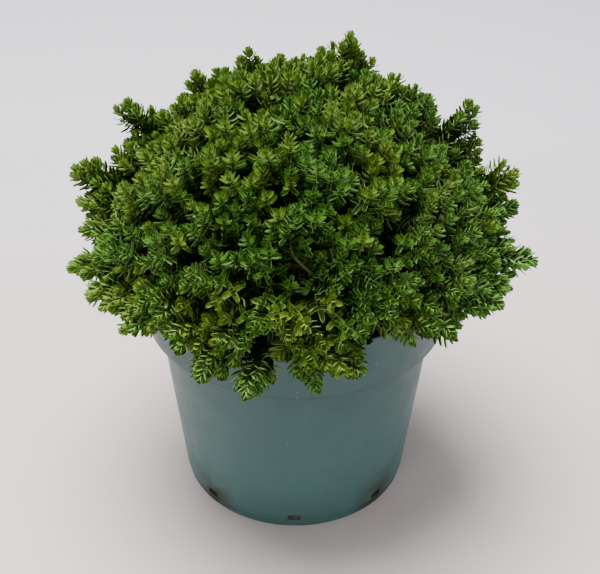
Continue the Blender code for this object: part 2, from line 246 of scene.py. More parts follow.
# Withered leaves: azimuth and elevation of the place, how near it a tip has to be, and which pair
WITHERED = (68, 3)
WITHERED_REACH = math.radians(3)
WITHERED_PAIR = 6

# Shades: shoots of one shade stand in patches, with more olive ones above, behind and to the left
# This is partly the leaves' own tint and partly painted light: the patches brighten lumps of shoots, and the
# slope makes shoots paler above, behind and to the left and darker to the right and low in front
SHADE_AND_LIGHT_PATCHES = 0.9
SHADE_SCALE = 4.5
SHADE_AND_LIGHT_SLOPE = 0.38
SHADE_CHANCE = 0.6
SHADE_MIDDLE = 0.45
SHADE_END = 0.999

# Leaf colours by kind and shade, from deep green to olive: plain, clouded and mottled
LEAF_COLOURS = {
    "young": (
        ((0.050, 0.165, 0.006), (0.030, 0.116, 0.003), (0.092, 0.235, 0.022)),
        ((0.104, 0.225, 0.010), (0.065, 0.158, 0.005), (0.180, 0.325, 0.038)),
    ),
    "grown": (
        ((0.012, 0.054, 0.002), (0.007, 0.037, 0.001), (0.022, 0.080, 0.007)),
        ((0.021, 0.073, 0.002), (0.012, 0.050, 0.001), (0.036, 0.105, 0.007)),
        ((0.042, 0.098, 0.003), (0.026, 0.069, 0.001), (0.068, 0.136, 0.009)),
    ),
    "old": (
        ((0.013, 0.056, 0.001), (0.008, 0.039, 0.001), (0.023, 0.078, 0.004)),
        ((0.022, 0.066, 0.001), (0.014, 0.046, 0.001), (0.036, 0.090, 0.004)),
    ),
    "withered": (
        ((0.200, 0.120, 0.020), (0.110, 0.060, 0.010), (0.290, 0.200, 0.035)),
    ),
}
SHADE_LETTERS = "abc"

# Colours of the margins, and which one each shade of a kind has. Their paleness is partly the leaves' own
# edge and partly painted highlight
MARGIN_AND_HIGHLIGHT_COLOURS = {
    "pale": ((0.205, 0.395, 0.098), (0.138, 0.305, 0.060), (0.335, 0.530, 0.200)),
    "green": ((0.160, 0.272, 0.056), (0.108, 0.200, 0.036), (0.262, 0.380, 0.115)),
    "lime": ((0.225, 0.385, 0.088), (0.152, 0.298, 0.054), (0.340, 0.495, 0.168)),
}
MARGINS = {"young": ("pale", "lime"), "grown": ("pale", "lime", "green")}

# Marks in the finishes. Patches are their size, where in the noise they begin and are full, then its
# detail and the most and least they colour, if not 3, 1 and 0. A sheen is its size, its least and
# most roughness, then its detail. A grain is its size, strength and depth, then its detail
NOISE_DETAIL = 3.0
NOISE_ROUGHNESS = 0.55
NOISE_SPAN = (0.3, 0.7)

# Leaf surface: within a shade the colour drifts to olive green
OLIVE_SHIFT = (1.3, 1.04)
LEAF_DRIFT = (60 * MM, 0.4, 0.6, 1.0)
LEAF_CLOUDS = (14 * MM, 0.35, 0.65, 2.0)
LEAF_MOTTLE = (1.2 * MM, 0.4, 0.75)
LEAF_SHEEN = (2.5 * MM, 0.41, 0.58)
MARGIN_SHEEN = (2.5 * MM, 0.33, 0.5)
LEAF_GRAIN = (0.5 * MM, 0.12, 0.2 * MM, 2.0)
LEAF_SPECULAR = 0.14

# Bark: plain, streaked and mossy colours of old and green stems
BARK_COLOURS = ((0.105, 0.072, 0.036), (0.040, 0.026, 0.013), (0.075, 0.085, 0.030))
GREEN_STEM_COLOURS = ((0.070, 0.110, 0.012), (0.045, 0.062, 0.008), (0.120, 0.150, 0.025))
BARK_STREAKS = (1.6 * MM, 0.35, 0.65, 4.0)
BARK_MOSS = (6 * MM, 0.45, 0.7)
BARK_SHEEN = (1.5 * MM, 0.6, 0.9)
BARK_GRAIN = (0.7 * MM, 0.5, 0.3 * MM, 4.0)

# Pot: the heights between which it turns from paler to darker, its marks and its dirt
POT_PLAIN = (0.036, 0.100, 0.096)
# Painted light: the paler lower body stands for light bounced from the floor, the darker upper body for the
# crown's shade
POT_UPPER_SHADED = ((0.009, 0.059, 0.062), (0.013, 0.070, 0.071))
POT_LOWER_LIT = ((0.050, 0.142, 0.138), (0.058, 0.158, 0.150))
POT_LIGHT_FADE = (4 * MM, 80 * MM)
POT_CLOUDS = (45 * MM, 0.3, 0.7)
POT_SPECK = (0.30, 0.36, 0.34)
POT_SPECKS = (1.3 * MM, 0.71, 0.76, 2.0, 0.45)
POT_FLECK = (0.014, 0.024, 0.018)
POT_FLECKS = (2.1 * MM, 0.70, 0.73, 3.0, 0.7)
POT_FLECK_ROUGHNESS = 0.7
# Painted shade under the collar's step, with some dirt: a thin dark broken line
POT_SHADE_LINE = (0.012, 0.026, 0.020)
POT_SHADE_LINE_WIDTH = 1.4 * MM
# Painted highlight: a pale line along the edge of the foot
POT_FOOT_HIGHLIGHT = (0.110, 0.190, 0.175)
POT_FOOT_HIGHLIGHT_WIDTH = 0.5 * MM
POT_BREAKS = (5 * MM, 0.4, 0.55, 4.0, 1, 0.3)
POT_SHEEN = (9 * MM, 0.42, 0.56, 5.0)
POT_GRAIN = (0.8 * MM, 0.05, 0.2 * MM)
POT_DIRT = (0.026, 0.029, 0.012)
DIRT_HEIGHTS = (8 * MM, 22 * MM)
DIRT_SLOTS = (-0.5, 0.9)
DIRT_SIDES = (10 * MM, 25 * MM, 0.1, 1)
DIRT_STAINS = (7 * MM, 0.32, 0.5, 6.0, 0.9)

# Soil: colours of the peat and of the coir that shows in the drain slots, and where that is
SOIL_PLAIN = (0.020, 0.013, 0.008)
PEAT_COLOURS = ((0.010, 0.007, 0.004), (0.048, 0.032, 0.020))
COIR_COLOURS = ((0.042, 0.040, 0.026), (0.115, 0.105, 0.070))
COIR_HEIGHTS = (15 * MM, 30 * MM)
COIR_FRONT = (-46 * MM, -40 * MM, 1, 0.2)
SOIL_CRUMBS = (1.8 * MM, 0.35, 0.7, 4.0)
SOIL_SHEEN = (2 * MM, 0.8, 1.0)
SOIL_GRAIN = (1.0 * MM, 0.8, 0.6 * MM, 5.0)

# Stage
STAGE_FLAT = 1.5
STAGE_BEND = 0.5
STAGE_HEIGHT = 1.0
STAGE_STEPS = 16
STAGE_SIDES = 96
STAGE_NEAR = ((0.873, 0.790, 0.770), (0.900, 0.815, 0.795))
STAGE_FAR = (0.930, 0.915, 0.995)
STAGE_FADE = (100 * MM, 350 * MM)
STAGE_CLOUDS = (300 * MM, 0.3, 0.7, 2.0)
STAGE_ROUGHNESS = 0.9

# Lights: name, place, target, size, power in watts and colour
LIGHTS = (
    ("top_light", (-0.16, 0.08, 1.2), (0, 0, 0.1), 0.85, 30.5, (1.0, 0.99, 0.97)),
    ("front_light", (-0.4, -1.2, 1.0), (0, 0, 0.1), 0.9, 1.5, (1.0, 1.0, 1.0)),
    ("right_light", (0.8, -0.6, 0.06), (0, 0, 0.04), 0.3, 0.35, (0.97, 0.98, 1.0)),
)
WORLD_COLOUR = (0.97, 0.97, 1.0)
WORLD_STRENGTH = 0.35

# Camera, fitted to the photograph
CAMERA_PLACE = (0, -384.2 * MM, 351.2 * MM)
CAMERA_PITCH = math.radians(34.1)
CAMERA_YAW = math.radians(0.24)
CAMERA_ROLL = math.radians(0.62)
CAMERA_LENS = 66
CAMERA_SENSOR = 36
CAMERA_CLIP = 10 * MM


# Small tools

def direction(azimuth, elevation):
    """Unit vector for an azimuth and an elevation in degrees."""
    level = math.cos(math.radians(elevation))
    return Vector((
        level * math.cos(math.radians(azimuth)),
        level * math.sin(math.radians(azimuth)),
        math.sin(math.radians(elevation)),
    ))


def smooth_step(low, high, value):
    """Rises from 0 at low to 1 at high, which may be the smaller number."""
    part = min(max((value - low) / (high - low), 0), 1)
    return part * part * (3 - 2 * part)


def between(first, second, part):
    """From the first value at 0 to the second at 1."""
    return first + (second - first) * part


def taper(first, last, steps):
    """Radii from the first to the last for a path of that many steps."""
    return [between(first, last, i / steps) for i in range(steps + 1)]


def make_mesh(name, points, triangles, materials, slots=None):
    """Object from arrays of points and triangles, smooth, with a material slot for each triangle."""
    mesh = bpy.data.meshes.new(name)
    points = np.asarray(points, dtype=np.float32)
    triangles = np.asarray(triangles, dtype=np.int32)
    mesh.vertices.add(len(points))
    mesh.vertices.foreach_set("co", points.ravel())
    mesh.loops.add(triangles.size)
    mesh.loops.foreach_set("vertex_index", triangles.ravel())
    mesh.polygons.add(len(triangles))
    mesh.polygons.foreach_set("loop_start", np.arange(0, triangles.size, 3, dtype=np.int32))
    mesh.polygons.foreach_set("use_smooth", np.ones(len(triangles), dtype=bool))
    if slots is not None:
        mesh.polygons.foreach_set("material_index", np.asarray(slots, dtype=np.int32))
    mesh.update(calc_edges=True)
    for item in materials:
        mesh.materials.append(item)
    made = bpy.data.objects.new(name, mesh)
    bpy.context.scene.collection.objects.link(made)
    return made


# Materials

class Finish:
    """Builds one procedural material, node by node."""

    def __init__(self, name):
        self.material = bpy.data.materials.new(name)
        self.material.use_nodes = True
        self.nodes = self.material.node_tree.nodes
        self.links = self.material.node_tree.links
        self.shader = self.nodes["Principled BSDF"]
        self.place = self.nodes.new("ShaderNodeTexCoord").outputs["Object"]

    def noise(self, size, detail=NOISE_DETAIL, roughness=NOISE_ROUGHNESS):
        """Noise whose features measure about size, in metres."""
        scaled = self.nodes.new("ShaderNodeMapping")
        scaled.inputs["Scale"].default_value = (1 / size, 1 / size, 1 / size)
        self.links.new(self.place, scaled.inputs["Vector"])
        made = self.nodes.new("ShaderNodeTexNoise")
        made.inputs["Scale"].default_value = 1.0
        made.inputs["Detail"].default_value = detail
        made.inputs["Roughness"].default_value = roughness
        self.links.new(scaled.outputs["Vector"], made.inputs["Vector"])
        return made.outputs["Fac"]

    def remap(self, value, low, high, new_low=0, new_high=1):
        """The value with low to high turned into new_low to new_high, and nothing beyond those."""
        made = self.nodes.new("ShaderNodeMapRange")
        ends = {"From Min": low, "From Max": high, "To Min": new_low, "To Max": new_high}
        for name, number in ends.items():
            made.inputs[name].default_value = number
        self.links.new(value, made.inputs["Value"])
        return made.outputs["Result"]

    def patches(self, size, low, high, detail=NOISE_DETAIL, most=1, least=0, roughness=NOISE_ROUGHNESS):
        """Patches of noise of about that size: least where it is under low, most where it is over high."""
        return self.remap(self.noise(size, detail, roughness), low, high, least, most)

    def mix(self, part, first, second):
        """Colour between two others. Each may be a colour or a socket."""
        made = self.nodes.new("ShaderNodeMix")
        made.data_type = "RGBA"
        self.links.new(part, made.inputs["Factor"])
        for socket, colour in ((made.inputs[6], first), (made.inputs[7], second)):
            if isinstance(colour, tuple):
                socket.default_value = (*colour, 1)
            else:
                self.links.new(colour, socket)
        return made.outputs[2]

    def part_of_place(self, axis):
        split = self.nodes.new("ShaderNodeSeparateXYZ")
        self.links.new(self.place, split.inputs["Vector"])
        return split.outputs[axis]

    def height(self):
        """Height above the ground, in metres."""
        return self.part_of_place("Z")

    def sideways(self):
        """Distance to the left or right of the middle, in metres."""
        return self.calculate("ABSOLUTE", self.part_of_place("X"))

    def calculate(self, operation, *values):
        """One step of arithmetic. Each value may be a number or a socket."""
        made = self.nodes.new("ShaderNodeMath")
        made.operation = operation
        for socket, value in zip(made.inputs, values):
            if isinstance(value, (int, float)):
                socket.default_value = value
            else:
                self.links.new(value, socket)
        return made.outputs["Value"]

    def times(self, first, second):
        return self.calculate("MULTIPLY", first, second)

    def band(self, value, middle, half):
        """1 at a value of middle, and 0 from half away on."""
        away = self.calculate("ABSOLUTE", self.calculate("SUBTRACT", value, middle))
        return self.remap(away, 0, half, 1, 0)

    def colour(self, socket, plain):
        self.shader.inputs["Base Color"].default_value = (*plain, 1)
        self.material.diffuse_color = (*plain, 1)
        self.links.new(socket, self.shader.inputs["Base Color"])

    def sheen(self, size, least, most, detail=NOISE_DETAIL):
        """Roughness that goes from least to most in patches of about that size."""
        varied = self.remap(self.noise(size, detail), *NOISE_SPAN, least, most)
        self.links.new(varied, self.shader.inputs["Roughness"])

    def grain(self, size, strength, depth, detail=NOISE_DETAIL):
        """Fine bumps of about that size and depth."""
        made = self.nodes.new("ShaderNodeBump")
        made.inputs["Strength"].default_value = strength
        made.inputs["Distance"].default_value = depth
        self.links.new(self.noise(size, detail), made.inputs["Height"])
        self.links.new(made.outputs["Normal"], self.shader.inputs["Normal"])


def leaf_finish(name, plain, dark, light, sheen=LEAF_SHEEN):
    """Leathery leaf: cloudy green from spray to spray, finely mottled, with a satin skin."""
    made = Finish(name)
    olive = (plain[0] * OLIVE_SHIFT[0], plain[1] * OLIVE_SHIFT[1], plain[2])
    drifting = made.mix(made.patches(*LEAF_DRIFT), plain, olive)
    body = made.mix(made.patches(*LEAF_CLOUDS), dark, drifting)
    made.colour(made.mix(made.patches(*LEAF_MOTTLE), body, light), plain)
    made.sheen(*sheen)
    made.shader.inputs["Specular IOR Level"].default_value = LEAF_SPECULAR
    made.grain(*LEAF_GRAIN)
    return made.material


def leaf_finishes():
    """Finishes of the leaves by kind, one for each shade."""
    finishes = {}
    for kind, shades in LEAF_COLOURS.items():
        endings = ["_" + letter for letter in SHADE_LETTERS] if len(shades) > 1 else [""]
        finishes[kind] = [
            leaf_finish(f"leaf_{kind}{ending}", *colours) for ending, colours in zip(endings, shades)]
    return finishes


def margin_finishes():
    """Finishes of the leaves' margins, pale partly from painted highlight, by kind, one for each shade."""
    made = {
        name: leaf_finish(f"{name}_margin", *colours, MARGIN_SHEEN)
        for name, colours in MARGIN_AND_HIGHLIGHT_COLOURS.items()
    }
    return {kind: [made[name] for name in names] for kind, names in MARGINS.items()}


def bark_finish(name, plain, dark, light):
    """Thin bark with dark streaks and mossy patches."""
    made = Finish(name)
    streaked = made.mix(made.patches(*BARK_STREAKS), dark, plain)
    made.colour(made.mix(made.patches(*BARK_MOSS), streaked, light), plain)
    made.sheen(*BARK_SHEEN)
    made.grain(*BARK_GRAIN)
    return made.material


def pot_finish():
    """Satin moulded plastic, paler below and darker above as painted light and shade, with a painted shade
    line, with some dirt, under the collar, a painted highlight along the foot, specks and a dirty foot.
    """
    made = Finish("pot_plastic")
    height = made.height()
    clouds = made.patches(*POT_CLOUDS)
    # Painted light: paler low down for light bounced from the floor, darker high up for the crown's shade on
    # the collar
    upper = made.mix(clouds, *POT_UPPER_SHADED)
    lower = made.mix(clouds, *POT_LOWER_LIT)
    body = made.mix(made.remap(height, *POT_LIGHT_FADE), lower, upper)
    specked = made.mix(made.patches(*POT_SPECKS), body, POT_SPECK)
    flecked = made.mix(made.patches(*POT_FLECKS, roughness=POT_FLECK_ROUGHNESS), specked, POT_FLECK)
    broken = made.patches(*POT_BREAKS)
    # Painted shade under the collar's step, broken up like dirt
    line = made.times(made.band(height, POT_HEIGHT - COLLAR_HEIGHT, POT_SHADE_LINE_WIDTH), broken)
    # Painted highlight: a pale broken line along the edge of the foot
    foot_highlight = made.times(made.band(height, FOOT_HEIGHT, POT_FOOT_HIGHLIGHT_WIDTH), broken)
    highlighted = made.mix(foot_highlight, made.mix(line, flecked, POT_SHADE_LINE), POT_FOOT_HIGHLIGHT)
    made.colour(made.mix(pot_dirt(made, height), highlighted, POT_DIRT), POT_PLAIN)
    made.sheen(*POT_SHEEN)
    made.grain(*POT_GRAIN)
    return made.material


def pot_dirt(made, height):
    """How dirty the pot is: low down round its drain slots, and hardly in the middle of front and back."""
    low = made.remap(height, *DIRT_HEIGHTS, 1, 0)
    around = made.calculate("ARCTAN2", made.part_of_place("Y"), made.part_of_place("X"))
    slots = made.remap(made.calculate("COSINE", made.times(around, DRAIN_HOLES)), *DIRT_SLOTS)
    sides = made.remap(made.sideways(), *DIRT_SIDES)
    return made.times(made.times(made.times(low, slots), sides), made.patches(*DIRT_STAINS))


def soil_finish():
    """Dark peat, with dull brown coir low down, where it shows in the drain slots."""
    made = Finish("soil")
    crumbs = made.patches(*SOIL_CRUMBS)
    peat = made.mix(crumbs, *PEAT_COLOURS)
    coir = made.mix(crumbs, *COIR_COLOURS)
    low = made.remap(made.height(), *COIR_HEIGHTS, 1, 0)
    front = made.remap(made.part_of_place("Y"), *COIR_FRONT)
    made.colour(made.mix(made.times(low, front), peat, coir), SOIL_PLAIN)
    made.sheen(*SOIL_SHEEN)
    made.grain(*SOIL_GRAIN)
    return made.material


def stage_finish():
    """Matt paper, warm near the pot and cooler far behind it."""
    made = Finish("pale_paper")
    ground = made.mix(made.patches(*STAGE_CLOUDS), *STAGE_NEAR)
    away = made.remap(made.part_of_place("Y"), *STAGE_FADE)
    made.colour(made.mix(away, ground, STAGE_FAR), STAGE_NEAR[1])
    made.shader.inputs["Roughness"].default_value = STAGE_ROUGHNESS
    return made.material


# Crown outline and growth, by the source's rule

def mass_directions():
    ways = {"peak": direction(*PEAK)}
    for i in range(UPPER_COUNT):
        ways[f"upper_{i + 1}"] = direction(UPPER_FIRST + 360 * i / UPPER_COUNT, UPPER_ELEVATION)
    for i in range(LOWER_COUNT):
        elevation = LOWER_ELEVATION + LOWER_WOBBLE * (-1) ** i
        ways[f"lower_{i + 1}"] = direction(LOWER_FIRST + 360 * i / LOWER_COUNT, elevation)
    return ways


def crown_reach(way):
    """Distance from the fork to the crown's outline along a unit vector."""
    level = math.hypot(way.x, way.y)
    if way.z >= 0:
        total = (level / CROWN_RADIUS) ** CROWN_ROUNDNESS + (way.z / CROWN_RISE) ** CROWN_ROUNDNESS
        reach = total ** (-1 / CROWN_ROUNDNESS)
    else:
        droop = math.asin(-way.z) / CROWN_DROOP
        reach = CROWN_RADIUS - CROWN_UNDERCUT * droop ** 2
    return reach + LUMP_HEIGHT * noise.noise(way * LUMP_SCALE)


def raised(way, draw):
    """The unit vector itself, or one above the crown's edge where the collar is bare."""
    azimuth = math.degrees(math.atan2(way.y, way.x))
    elevation = math.degrees(math.asin(way.z))
    for middle, half, most in BARE_ARCS:
        lift = most * smooth_step(half + BARE_EASE, half - BARE_EASE, abs(azimuth - middle))
        lowest = lift - math.degrees(CROWN_DROOP)
        if lift > 0 and elevation < lowest:
            return direction(azimuth, lowest + draw.uniform(0, BARE_SPREAD))
    return way


def hollow_depth(way):
    """How far the crown is sunk along a unit vector, at the hollow in front."""
    return HOLLOW_DEPTH * smooth_step(HOLLOW_RADIUS, 0, way.angle(direction(*HOLLOW)))


def pot_distance(point):
    """Distance from a point to the pot's rim and outer side. Points are from the fork."""
    out = math.hypot(point.x, point.y) - RIM_RADIUS
    up = point.z + FORK_HEIGHT - POT_HEIGHT
    if up > 0:
        return math.hypot(max(out, 0), up)
    return out


def path_gap(path):
    """Least distance from the pot along a path, at its points and between them."""
    return min(
        pot_distance(first.lerp(second, i / GAP_TESTS))
        for first, second in zip(path, path[1:]) for i in range(GAP_TESTS + 1))


def over_rim(point):
    """The point itself, or one raised so that what grows from it passes over the pot's rim."""
    return Vector((point.x, point.y, max(point.z, POT_HEIGHT - FORK_HEIGHT + RIM_CLEARANCE)))


def spread_way(i, count):
    """Number i of that many unit vectors, evenly spread over the crown from its top down."""
    lowest = -math.sin(CROWN_DROOP)
    height = 1 - (1 - lowest) * (i + 0.5) / count
    level = math.sqrt(1 - height * height)
    angle = GOLDEN_ANGLE * i
    return Vector((level * math.cos(angle), level * math.sin(angle), height))


def crown_tips(draw):
    """Unit vectors to the source's tips, how far each stands out, and whether it is a long shoot."""
    tips = []
    for i in range(TIP_COUNT):
        tips.append((spread_way(i, TIP_COUNT), draw.uniform(-TIP_JITTER, TIP_JITTER), False))
    for azimuth, elevation, extra in LONG_SHOOTS:
        tips.append((direction(azimuth, elevation), extra, True))
    return tips


class Tubes:
    """Collects round twigs as rings of points, and makes one mesh of them."""

    def __init__(self, sides):
        self.sides = sides
        self.points = []
        self.triangles = []

    def add(self, path, radii):
        """A tube along a path, with a point for its end."""
        start = len(self.points)
        sides = self.sides
        across = (path[1] - path[0]).orthogonal().normalized()
        for i, point in enumerate(path):
            ahead = path[min(i + 1, len(path) - 1)] - path[max(i - 1, 0)]
            up = ahead.cross(across).normalized()
            across = up.cross(ahead).normalized()
            for k in range(sides):
                angle = 2 * math.pi * k / sides
                self.points.append(point + (across * math.cos(angle) + up * math.sin(angle)) * radii[i])
        for i in range(len(path) - 1):
            for k in range(sides):
                a = start + i * sides + k
                b = start + i * sides + (k + 1) % sides
                self.triangles.append((a, b, b + sides))
                self.triangles.append((a, b + sides, a + sides))
        end = len(self.points)
        self.points.append(path[-1] + (path[-1] - path[-2]).normalized() * radii[-1])
        for k in range(sides):
            self.triangles.append((end - sides + k, end - sides + (k + 1) % sides, end))

    def build(self, name, finish):
        lifted = [point + Vector((0, 0, FORK_HEIGHT)) for point in self.points]
        return make_mesh(name, lifted, self.triangles, [finish])


def curve_points(start, leave, arrive, end, steps):
    """Points of a cubic curve that leaves along one vector and arrives along another."""
    first = start + leave
    second = end - arrive
    points = []
    for i in range(steps + 1):
        t = i / steps
        s = 1 - t
        points.append(start * s ** 3 + first * (3 * s * s * t) + second * (3 * s * t * t) + end * t ** 3)
    return points


# Leaf blades

def blade_template(stations, cup, arch, margin=0):
    """Incurved, cupped leaf blade along +Y with its upper side to +Z, and a pale strip at its margins,
    partly its own colour and partly painted highlight.

    Each station is how far along it is and how wide, of 1. The tip follows the last one.
    """
    columns = 4 if margin else 3
    points = []
    triangles = []
    slots = []
    for along, wide in stations:
        inner = wide - 2 * margin
        for x in ((-wide, -inner, inner, wide) if margin else (-wide, 0, wide)):
            points.append((x / 2, along, arch * (along - along ** 2) + cup * x * x))
    tip = len(points)
    points.append((0, 1, 0))
    for i in range(len(stations)):
        for k in range(columns - 1):
            slot = 1 if margin and k != 1 else 0
            a = i * columns + k
            if i + 1 < len(stations):
                ahead = a + columns
                triangles += [(a, a + 1, ahead + 1), (a, ahead + 1, ahead)]
                slots += [slot, slot]
            else:
                triangles.append((a, a + 1, tip))
                slots.append(slot)
    return np.array(points), np.array(triangles), np.array(slots)


class Leaves:
    """Collects the places of the leaves of one kind, and makes one mesh of them."""

    def __init__(self, template):
        self.template = template
        self.frames = []

    def add(self, root, along, across, length, width):
        up = across.cross(along)
        self.frames.append((*(across * width), *(along * length), *(up * length), *root))

    def build(self, name, finishes):
        points, triangles, slots = self.template
        frames = np.array(self.frames).reshape(-1, 4, 3)
        placed = np.einsum("pk,nkc->npc", points, frames[:, :3]) + frames[:, 3][:, None]
        placed[:, :, 2] += FORK_HEIGHT
        placed = placed[self.clear_of_pot(placed)]
        shifts = np.arange(len(placed))[:, None, None] * len(points)
        faces = (triangles[None] + shifts).reshape(-1, 3)
        return make_mesh(name, placed.reshape(-1, 3), faces, finishes, np.tile(slots, len(placed)))

    def clear_of_pot(self, placed):
        """Which leaves keep clear of the pot, at their points and in the middle of their faces."""
        middles = placed[:, self.template[1]].mean(axis=2)
        tests = np.concatenate([placed, middles], axis=1)
        out = np.hypot(tests[:, :, 0], tests[:, :, 1]) - RIM_RADIUS
        up = tests[:, :, 2] - POT_HEIGHT
        gaps = np.where(up > 0, np.hypot(np.maximum(out, 0), up), out)
        return gaps.min(axis=1) > LEAF_GAP


class Crown:
    """Grows the twigs and leaves of the whole crown."""

    def __init__(self):
        self.draw = random.Random(SEED)
        self.twigs = Tubes(TWIG_SIDES)
        self.shoots = Tubes(SHOOT_SIDES)
        self.kinds = {
            kind: [Leaves(blade_template(*BLADES[kind])) for _ in shades]
            for kind, shades in LEAF_COLOURS.items()
        }

    def grow(self, start, thickness, tufts):
        """Forks in pairs: the tufts are halved across their widest spread each time."""
        if len(tufts) == 1:
            self.tuft(start, thickness, tufts[0])
            return
        tips = [tuft["tip"] for tuft in tufts]
        middle = sum(tips, Vector()) / len(tips)
        widest = max((tip - middle for tip in tips), key=lambda gap: gap.length)
        tufts = sorted(tufts, key=lambda tuft: tuft["tip"].dot(widest))
        half = len(tufts) // 2
        for part in (tufts[:half], tufts[half:]):
            centre = sum((tuft["tip"] for tuft in part), Vector()) / len(part)
            fork = over_rim(start.lerp(centre, FORK_AT))
            thin = thickness * TWIG_THINNING
            self.twigs.add([start, start.lerp(fork, 0.5), fork], [thickness, thickness, thin])
            self.grow(fork, thin, part)

    def tuft(self, start, thickness, tuft):
        """One tip of the source, carried on to a tuft of leafy shoots."""
        draw = self.draw
        way = tuft["way"] if tuft["long"] else raised(tuft["way"], draw)
        standoffs = LONG_STANDOFFS if tuft["long"] else SHOOT_STANDOFFS
        standoff = between(*standoffs, smooth_step(*SHOOT_HEIGHTS, way.z))
        out = crown_reach(way) - standoff + tuft["extra"]
        centre = way * out
        fork = way * (out - TUFT_DEPTH)
        bend = way * TWIG_BEND
        path = curve_points(start, bend, bend, over_rim(fork), len(TWIG_TAPER) - 1)
        self.twigs.add(path, [thickness * part for part in TWIG_TAPER])
        side = way.orthogonal().normalized()
        side.rotate(Matrix.Rotation(draw.uniform(0, 2 * math.pi), 3, way))
        across = way.cross(side)
        count, spread, drop = TUFT_SHOOTS, TUFT_SPREAD, TUFT_DROP
        if tuft["long"]:
            count, spread, drop = LONG_TUFT_SHOOTS, LONG_TUFT_SPREAD, LONG_TUFT_DROP
        for i in range(count):
            share = math.sqrt(i / (count - 1)) * draw.uniform(*TUFT_SHARES)
            angle = GOLDEN_ANGLE * i + draw.uniform(-TUFT_TURN, TUFT_TURN)
            offset = (side * math.cos(angle) + across * math.sin(angle)) * share * spread
            aim = (centre + offset).normalized()
            if not tuft["long"]:
                aim = raised(aim, draw)
            lowered = drop * share ** 2 * draw.uniform(*TUFT_DROPS)
            lowered += draw.uniform(-TUFT_JITTER, TUFT_JITTER)
            tip = aim * (crown_reach(aim) - standoff + tuft["extra"] - lowered - hollow_depth(aim))
            self.shoot(fork, way, tip, offset)

    def fill(self):
        """Old shoots inside the crown, evenly spread."""
        draw = self.draw
        for i in range(INNER_COUNT):
            way = raised(spread_way(i, INNER_COUNT), draw)
            part = draw.uniform(*INNER_REACH) - INNER_TUCK * smooth_step(*INNER_TUCK_HEIGHTS, way.z)
            tip = way * (crown_reach(way) * part - hollow_depth(way))
            sway = Vector([draw.uniform(-INNER_SPREAD, INNER_SPREAD) for _ in range(3)])
            axis = (way + sway).normalized()
            foot = tip - axis * INNER_LENGTH
            if min(pot_distance(tip), pot_distance(foot)) < INNER_GAP:
                continue
            path = curve_points(foot, way * INNER_BEND, axis * INNER_BEND, tip, INNER_STEPS)
            if path_gap(path) < SHOOT_GAP:
                continue
            self.shoots.add(path, [SHOOT_RADIUS] * len(path))
            self.dress(path, axis, INNER_FIRST)

    def shoot(self, fork, way, tip, offset):
        """Leafy shoot from the tuft's fork to its tip, bent upwards at its end."""
        outward = tip.normalized()
        lift = between(*SHOOT_LIFTS, smooth_step(*SHOOT_HEIGHTS, outward.z))
        sway = Vector([self.draw.uniform(-SHOOT_SWAY, SHOOT_SWAY) for _ in range(3)])
        axis = outward + Vector((0, 0, lift)) + offset * (SHOOT_SPREAD / TUFT_SPREAD) + sway
        axis.normalize()
        span = (tip - fork).length
        arrive = axis * span * SHOOT_ARRIVE
        path = curve_points(fork, way * span * SHOOT_LEAVE, arrive, tip, SHOOT_STEPS)
        if min(pot_distance(point) for point in path[SHELTERED_POINTS:]) < POT_GAP:
            return
        level = Vector((way.x, way.y, max(way.z, 0)))
        path = curve_points(over_rim(fork), level * span * SHOOT_LEAVE, arrive, tip, SHOOT_STEPS)
        if path_gap(path) < SHOOT_GAP:
            return
        self.shoots.add(path, taper(SHOOT_RADIUS, SHOOT_TIP_RADIUS, SHOOT_STEPS))
        self.dress(path, axis)

    def bare_stem(self):
        """The bare stem that crosses the hollow, and the leafy shoot at its end."""
        low, knee, high, tip = (direction(azimuth, elevation) * far for azimuth, elevation, far in BARE_STEM)
        leave = (knee - low) * BARE_STEM_LEAVE
        stem = curve_points(low, leave, (high - knee) * BARE_STEM_ARRIVE, high, SHOOT_STEPS)
        self.shoots.add(stem, [BARE_STEM_RADIUS] * len(stem))
        rise = Vector((0, 0, BARE_SHOOT_RISE))
        shoot = curve_points(high, (high - knee) * BARE_SHOOT_LEAVE, rise, tip, SHOOT_STEPS)
        self.shoots.add(shoot, taper(BARE_STEM_RADIUS, SHOOT_TIP_RADIUS, SHOOT_STEPS))
        self.dress(shoot, Vector((0, 0, 1)))

    def dress(self, path, axis, first=0):
        """Leaves in opposite pairs from the tip back along a path."""
        draw = self.draw
        shade = self.shade(path[-1].normalized(), draw.random())
        growth = 1 + LOW_LEAF_GROWTH * smooth_step(*LOW_LEAF_HEIGHTS, path[-1].normalized().z)
        steps = [(b - a).length for a, b in zip(path, path[1:])]
        total = sum(steps)
        is_inner = first > 0
        is_faded = not is_inner and path[-1].angle(direction(*WITHERED)) < WITHERED_REACH
        side = axis.orthogonal().normalized()
        side.rotate(Matrix.Rotation(draw.uniform(0, math.pi), 3, axis))
        back = 0
        for pair in range(first, LEAF_PAIRS):
            if pair > first:
                back += growth * LEAF_STEP * (BUD_STEPS[pair] if pair < len(BUD_STEPS) else 1)
            if back > total - LEAFLESS_FOOT:
                return
            left = total - back
            i = 0
            while i < len(steps) - 1 and left > steps[i]:
                left -= steps[i]
                i += 1
            joint = path[i].lerp(path[i + 1], left / steps[i])
            way = (path[i + 1] - path[i]).normalized()
            side = (side - way * side.dot(way)).normalized()
            kind = self.kind(pair, is_inner, is_faded)
            self.pair(joint, way, side, pair, kind[int(shade * len(kind))], growth)
            side = way.cross(side)

    def shade(self, way, chance):
        """Which colour of each kind a shoot has, from 0, deep green, to 1, olive and bright."""
